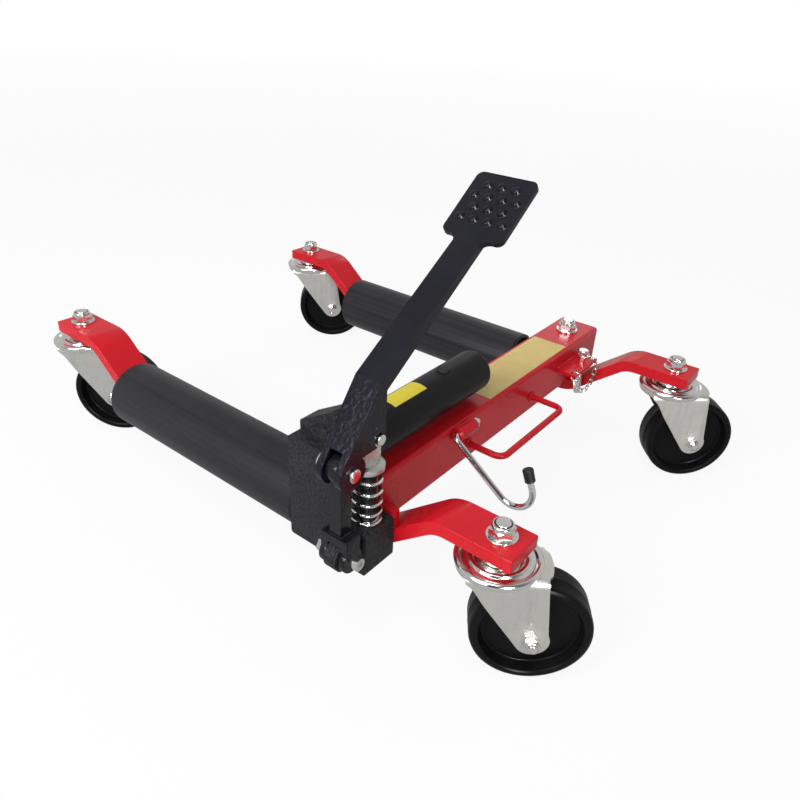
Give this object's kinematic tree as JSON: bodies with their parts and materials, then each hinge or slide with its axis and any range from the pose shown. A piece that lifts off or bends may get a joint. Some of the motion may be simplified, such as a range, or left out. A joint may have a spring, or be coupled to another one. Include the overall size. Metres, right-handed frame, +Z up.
{
  "type": "vehicle positioning jack",
  "caption": "Hydraulic wheel dolly on swivel casters: a foot pedal pump draws two parallel rollers together under a tyre to lift a car's wheel and roll it in any direction.",
  "frame": {"origin": "on the floor, midway between the caster kingpins", "axes": "+X along the beam from the pump to the far arm, +Y along the rollers away from the beam, +Z up"},
  "size_m": [0.523, 0.6803, 0.3656],
  "materials": {
    "red_paint": "gloss red enamel",
    "black_enamel": "semi-gloss black enamel over a casting",
    "tank_black": "satin black enamel",
    "roller_black": "satin black coating on tube",
    "zinc_plate": "bright zinc plating",
    "chrome_plate": "polished chrome",
    "bare_steel": "oiled bare steel",
    "wheel_plastic": "moulded black polypropylene",
    "bush_plastic": "moulded nylon",
    "black_rubber": "soft black rubber"
  },
  "bodies": {
    "pump_unit": {"pump_block": "black_enamel", "end_plate": "red_paint", "slide_tube": "red_paint", "cylinder_barrel": "bare_steel", "cylinder_gland": "bare_steel", "oil_tank": "tank_black", "tank_plug": "black_rubber", "arm_a_front": "red_paint", "arm_a_rear": "red_paint", "roller_axle_a": "bare_steel", "kingpin_bolts_a": "zinc_plate", "kingpin_nuts_a": "zinc_plate", "swivel_races_a": "zinc_plate", "plunger_gland": "zinc_plate", "link_screw": "zinc_plate", "plunger_spring": "zinc_plate"},
    "beam_unit": {"beam_tube": "red_paint", "arm_b_front": "red_paint", "arm_b_rear": "red_paint", "roller_axle_b": "bare_steel", "pivot_bolt": "zinc_plate", "pivot_nut": "zinc_plate", "pivot_spacer": "red_paint", "kingpin_bolts_b": "zinc_plate", "kingpin_nuts_b": "zinc_plate", "swivel_races_b": "zinc_plate", "pin_bracket": "red_paint", "carry_handle": "red_paint", "hook_lug": "red_paint", "piston_rod": "chrome_plate", "piston": "bare_steel", "lanyard_chain": "zinc_plate"},
    "roller_unit_a": {"roller_a": "roller_black", "roller_bushes_a": "bush_plastic"},
    "roller_unit_b": {"roller_b": "roller_black", "roller_bushes_b": "bush_plastic"},
    "link_unit": {"link": "black_enamel"},
    "lever_unit": {"pedal_lever": "black_enamel", "lever_pin": "zinc_plate"},
    "plunger_unit": {"plunger": "zinc_plate", "plunger_pin": "zinc_plate"},
    "hook_unit": {"pedal_hook": "chrome_plate", "hook_cap": "black_rubber", "hook_nut": "zinc_plate"},
    "pin_unit": {"lock_pin": "zinc_plate", "pin_ring": "zinc_plate"},
    "valve_unit": {"release_valve": "zinc_plate"},
    "swivel_a_front": {"fork_a_front": "zinc_plate", "caster_axle_a_front": "zinc_plate"},
    "rolling_a_front": {"wheel_a_front": "wheel_plastic"},
    "swivel_a_rear": {"fork_a_rear": "zinc_plate", "caster_axle_a_rear": "zinc_plate"},
    "rolling_a_rear": {"wheel_a_rear": "wheel_plastic"},
    "swivel_b_front": {"fork_b_front": "zinc_plate", "caster_axle_b_front": "zinc_plate"},
    "rolling_b_front": {"wheel_b_front": "wheel_plastic"},
    "swivel_b_rear": {"fork_b_rear": "zinc_plate", "caster_axle_b_rear": "zinc_plate"},
    "rolling_b_rear": {"wheel_b_rear": "wheel_plastic"}
  },
  "joints": [
    {"name": "beam_slide", "type": "slide", "parent": "pump_unit", "child": "beam_unit", "axis": [1, 0, 0], "range_m": [0, 0.16]},
    {"name": "roller_spin_a", "type": "hinge", "parent": "pump_unit", "child": "roller_unit_a", "pos_m": [-0.1875, 0.0495, 0.078], "axis": [0, 1, 0], "continuous": true},
    {"name": "roller_spin_b", "type": "hinge", "parent": "beam_unit", "child": "roller_unit_b", "pos_m": [0.1875, 0.0495, 0.078], "axis": [0, 1, 0], "continuous": true},
    {"name": "swivel_a_front", "type": "hinge", "parent": "pump_unit", "child": "swivel_a_front", "pos_m": [-0.1875, -0.2855, 0.118], "axis": [0, 0, 1], "continuous": true},
    {"name": "wheel_spin_a_front", "type": "hinge", "parent": "swivel_a_front", "child": "rolling_a_front", "pos_m": [-0.16901, -0.31162, 0.05], "axis": [0.8161, 0.5779, 0], "continuous": true},
    {"name": "swivel_a_rear", "type": "hinge", "parent": "pump_unit", "child": "swivel_a_rear", "pos_m": [-0.1875, 0.2855, 0.118], "axis": [0, 0, 1], "continuous": true},
    {"name": "wheel_spin_a_rear", "type": "hinge", "parent": "swivel_a_rear", "child": "rolling_a_rear", "pos_m": [-0.16892, 0.25945, 0.05], "axis": [0.8141, 0.5807, 0], "continuous": true},
    {"name": "swivel_b_front", "type": "hinge", "parent": "beam_unit", "child": "swivel_b_front", "pos_m": [0.1875, -0.2855, 0.118], "axis": [0, 0, 1], "continuous": true},
    {"name": "wheel_spin_b_front", "type": "hinge", "parent": "swivel_b_front", "child": "rolling_b_front", "pos_m": [0.20849, -0.30965, 0.05], "axis": [0.7547, 0.6561, 0], "continuous": true},
    {"name": "swivel_b_rear", "type": "hinge", "parent": "beam_unit", "child": "swivel_b_rear", "pos_m": [0.1875, 0.2855, 0.118], "axis": [0, 0, 1], "continuous": true},
    {"name": "wheel_spin_b_rear", "type": "hinge", "parent": "swivel_b_rear", "child": "rolling_b_rear", "pos_m": [0.20936, 0.26214, 0.05], "axis": [0.7302, 0.6833, 0], "continuous": true},
    {"name": "link_swing", "type": "hinge", "parent": "pump_unit", "child": "link_unit", "pos_m": [-0.2555, -0.1835, 0.105], "axis": [0, 1, 0], "range_deg": [-3, 0]},
    {"name": "lever_press", "type": "hinge", "parent": "link_unit", "child": "lever_unit", "pos_m": [-0.2555, -0.1835, 0.186], "axis": [0, 1, 0], "range_deg": [0, 28], "stiffness_Nm_per_rad": 4, "springref_deg": -34.38},
    {"name": "plunger_stroke", "type": "slide", "parent": "pump_unit", "child": "plunger_unit", "axis": [0, 0, 1], "range_m": [-0.0146, 0], "deforming": ["plunger_spring"]},
    {"name": "hook_swing", "type": "hinge", "parent": "beam_unit", "child": "hook_unit", "pos_m": [-0.0935, -0.181, 0.1365], "axis": [1, 0, 0], "range_deg": [-90, 50]},
    {"name": "lock_pin_lift", "type": "slide", "parent": "beam_unit", "child": "pin_unit", "axis": [0, 0, 1], "range_m": [0, 0.05], "deforming": ["lanyard_chain"]},
    {"name": "release_turn", "type": "hinge", "parent": "pump_unit", "child": "valve_unit", "pos_m": [-0.2195, -0.1145, 0.112], "axis": [0, 1, 0], "range_deg": [0, 180]}
  ],
  "couplings": [
    {"joint": "link_swing", "follows": "lever_press", "ratio": -0.0998},
    {"joint": "plunger_stroke", "follows": "lever_press", "m_per_rad": -0.02945}
  ]
}
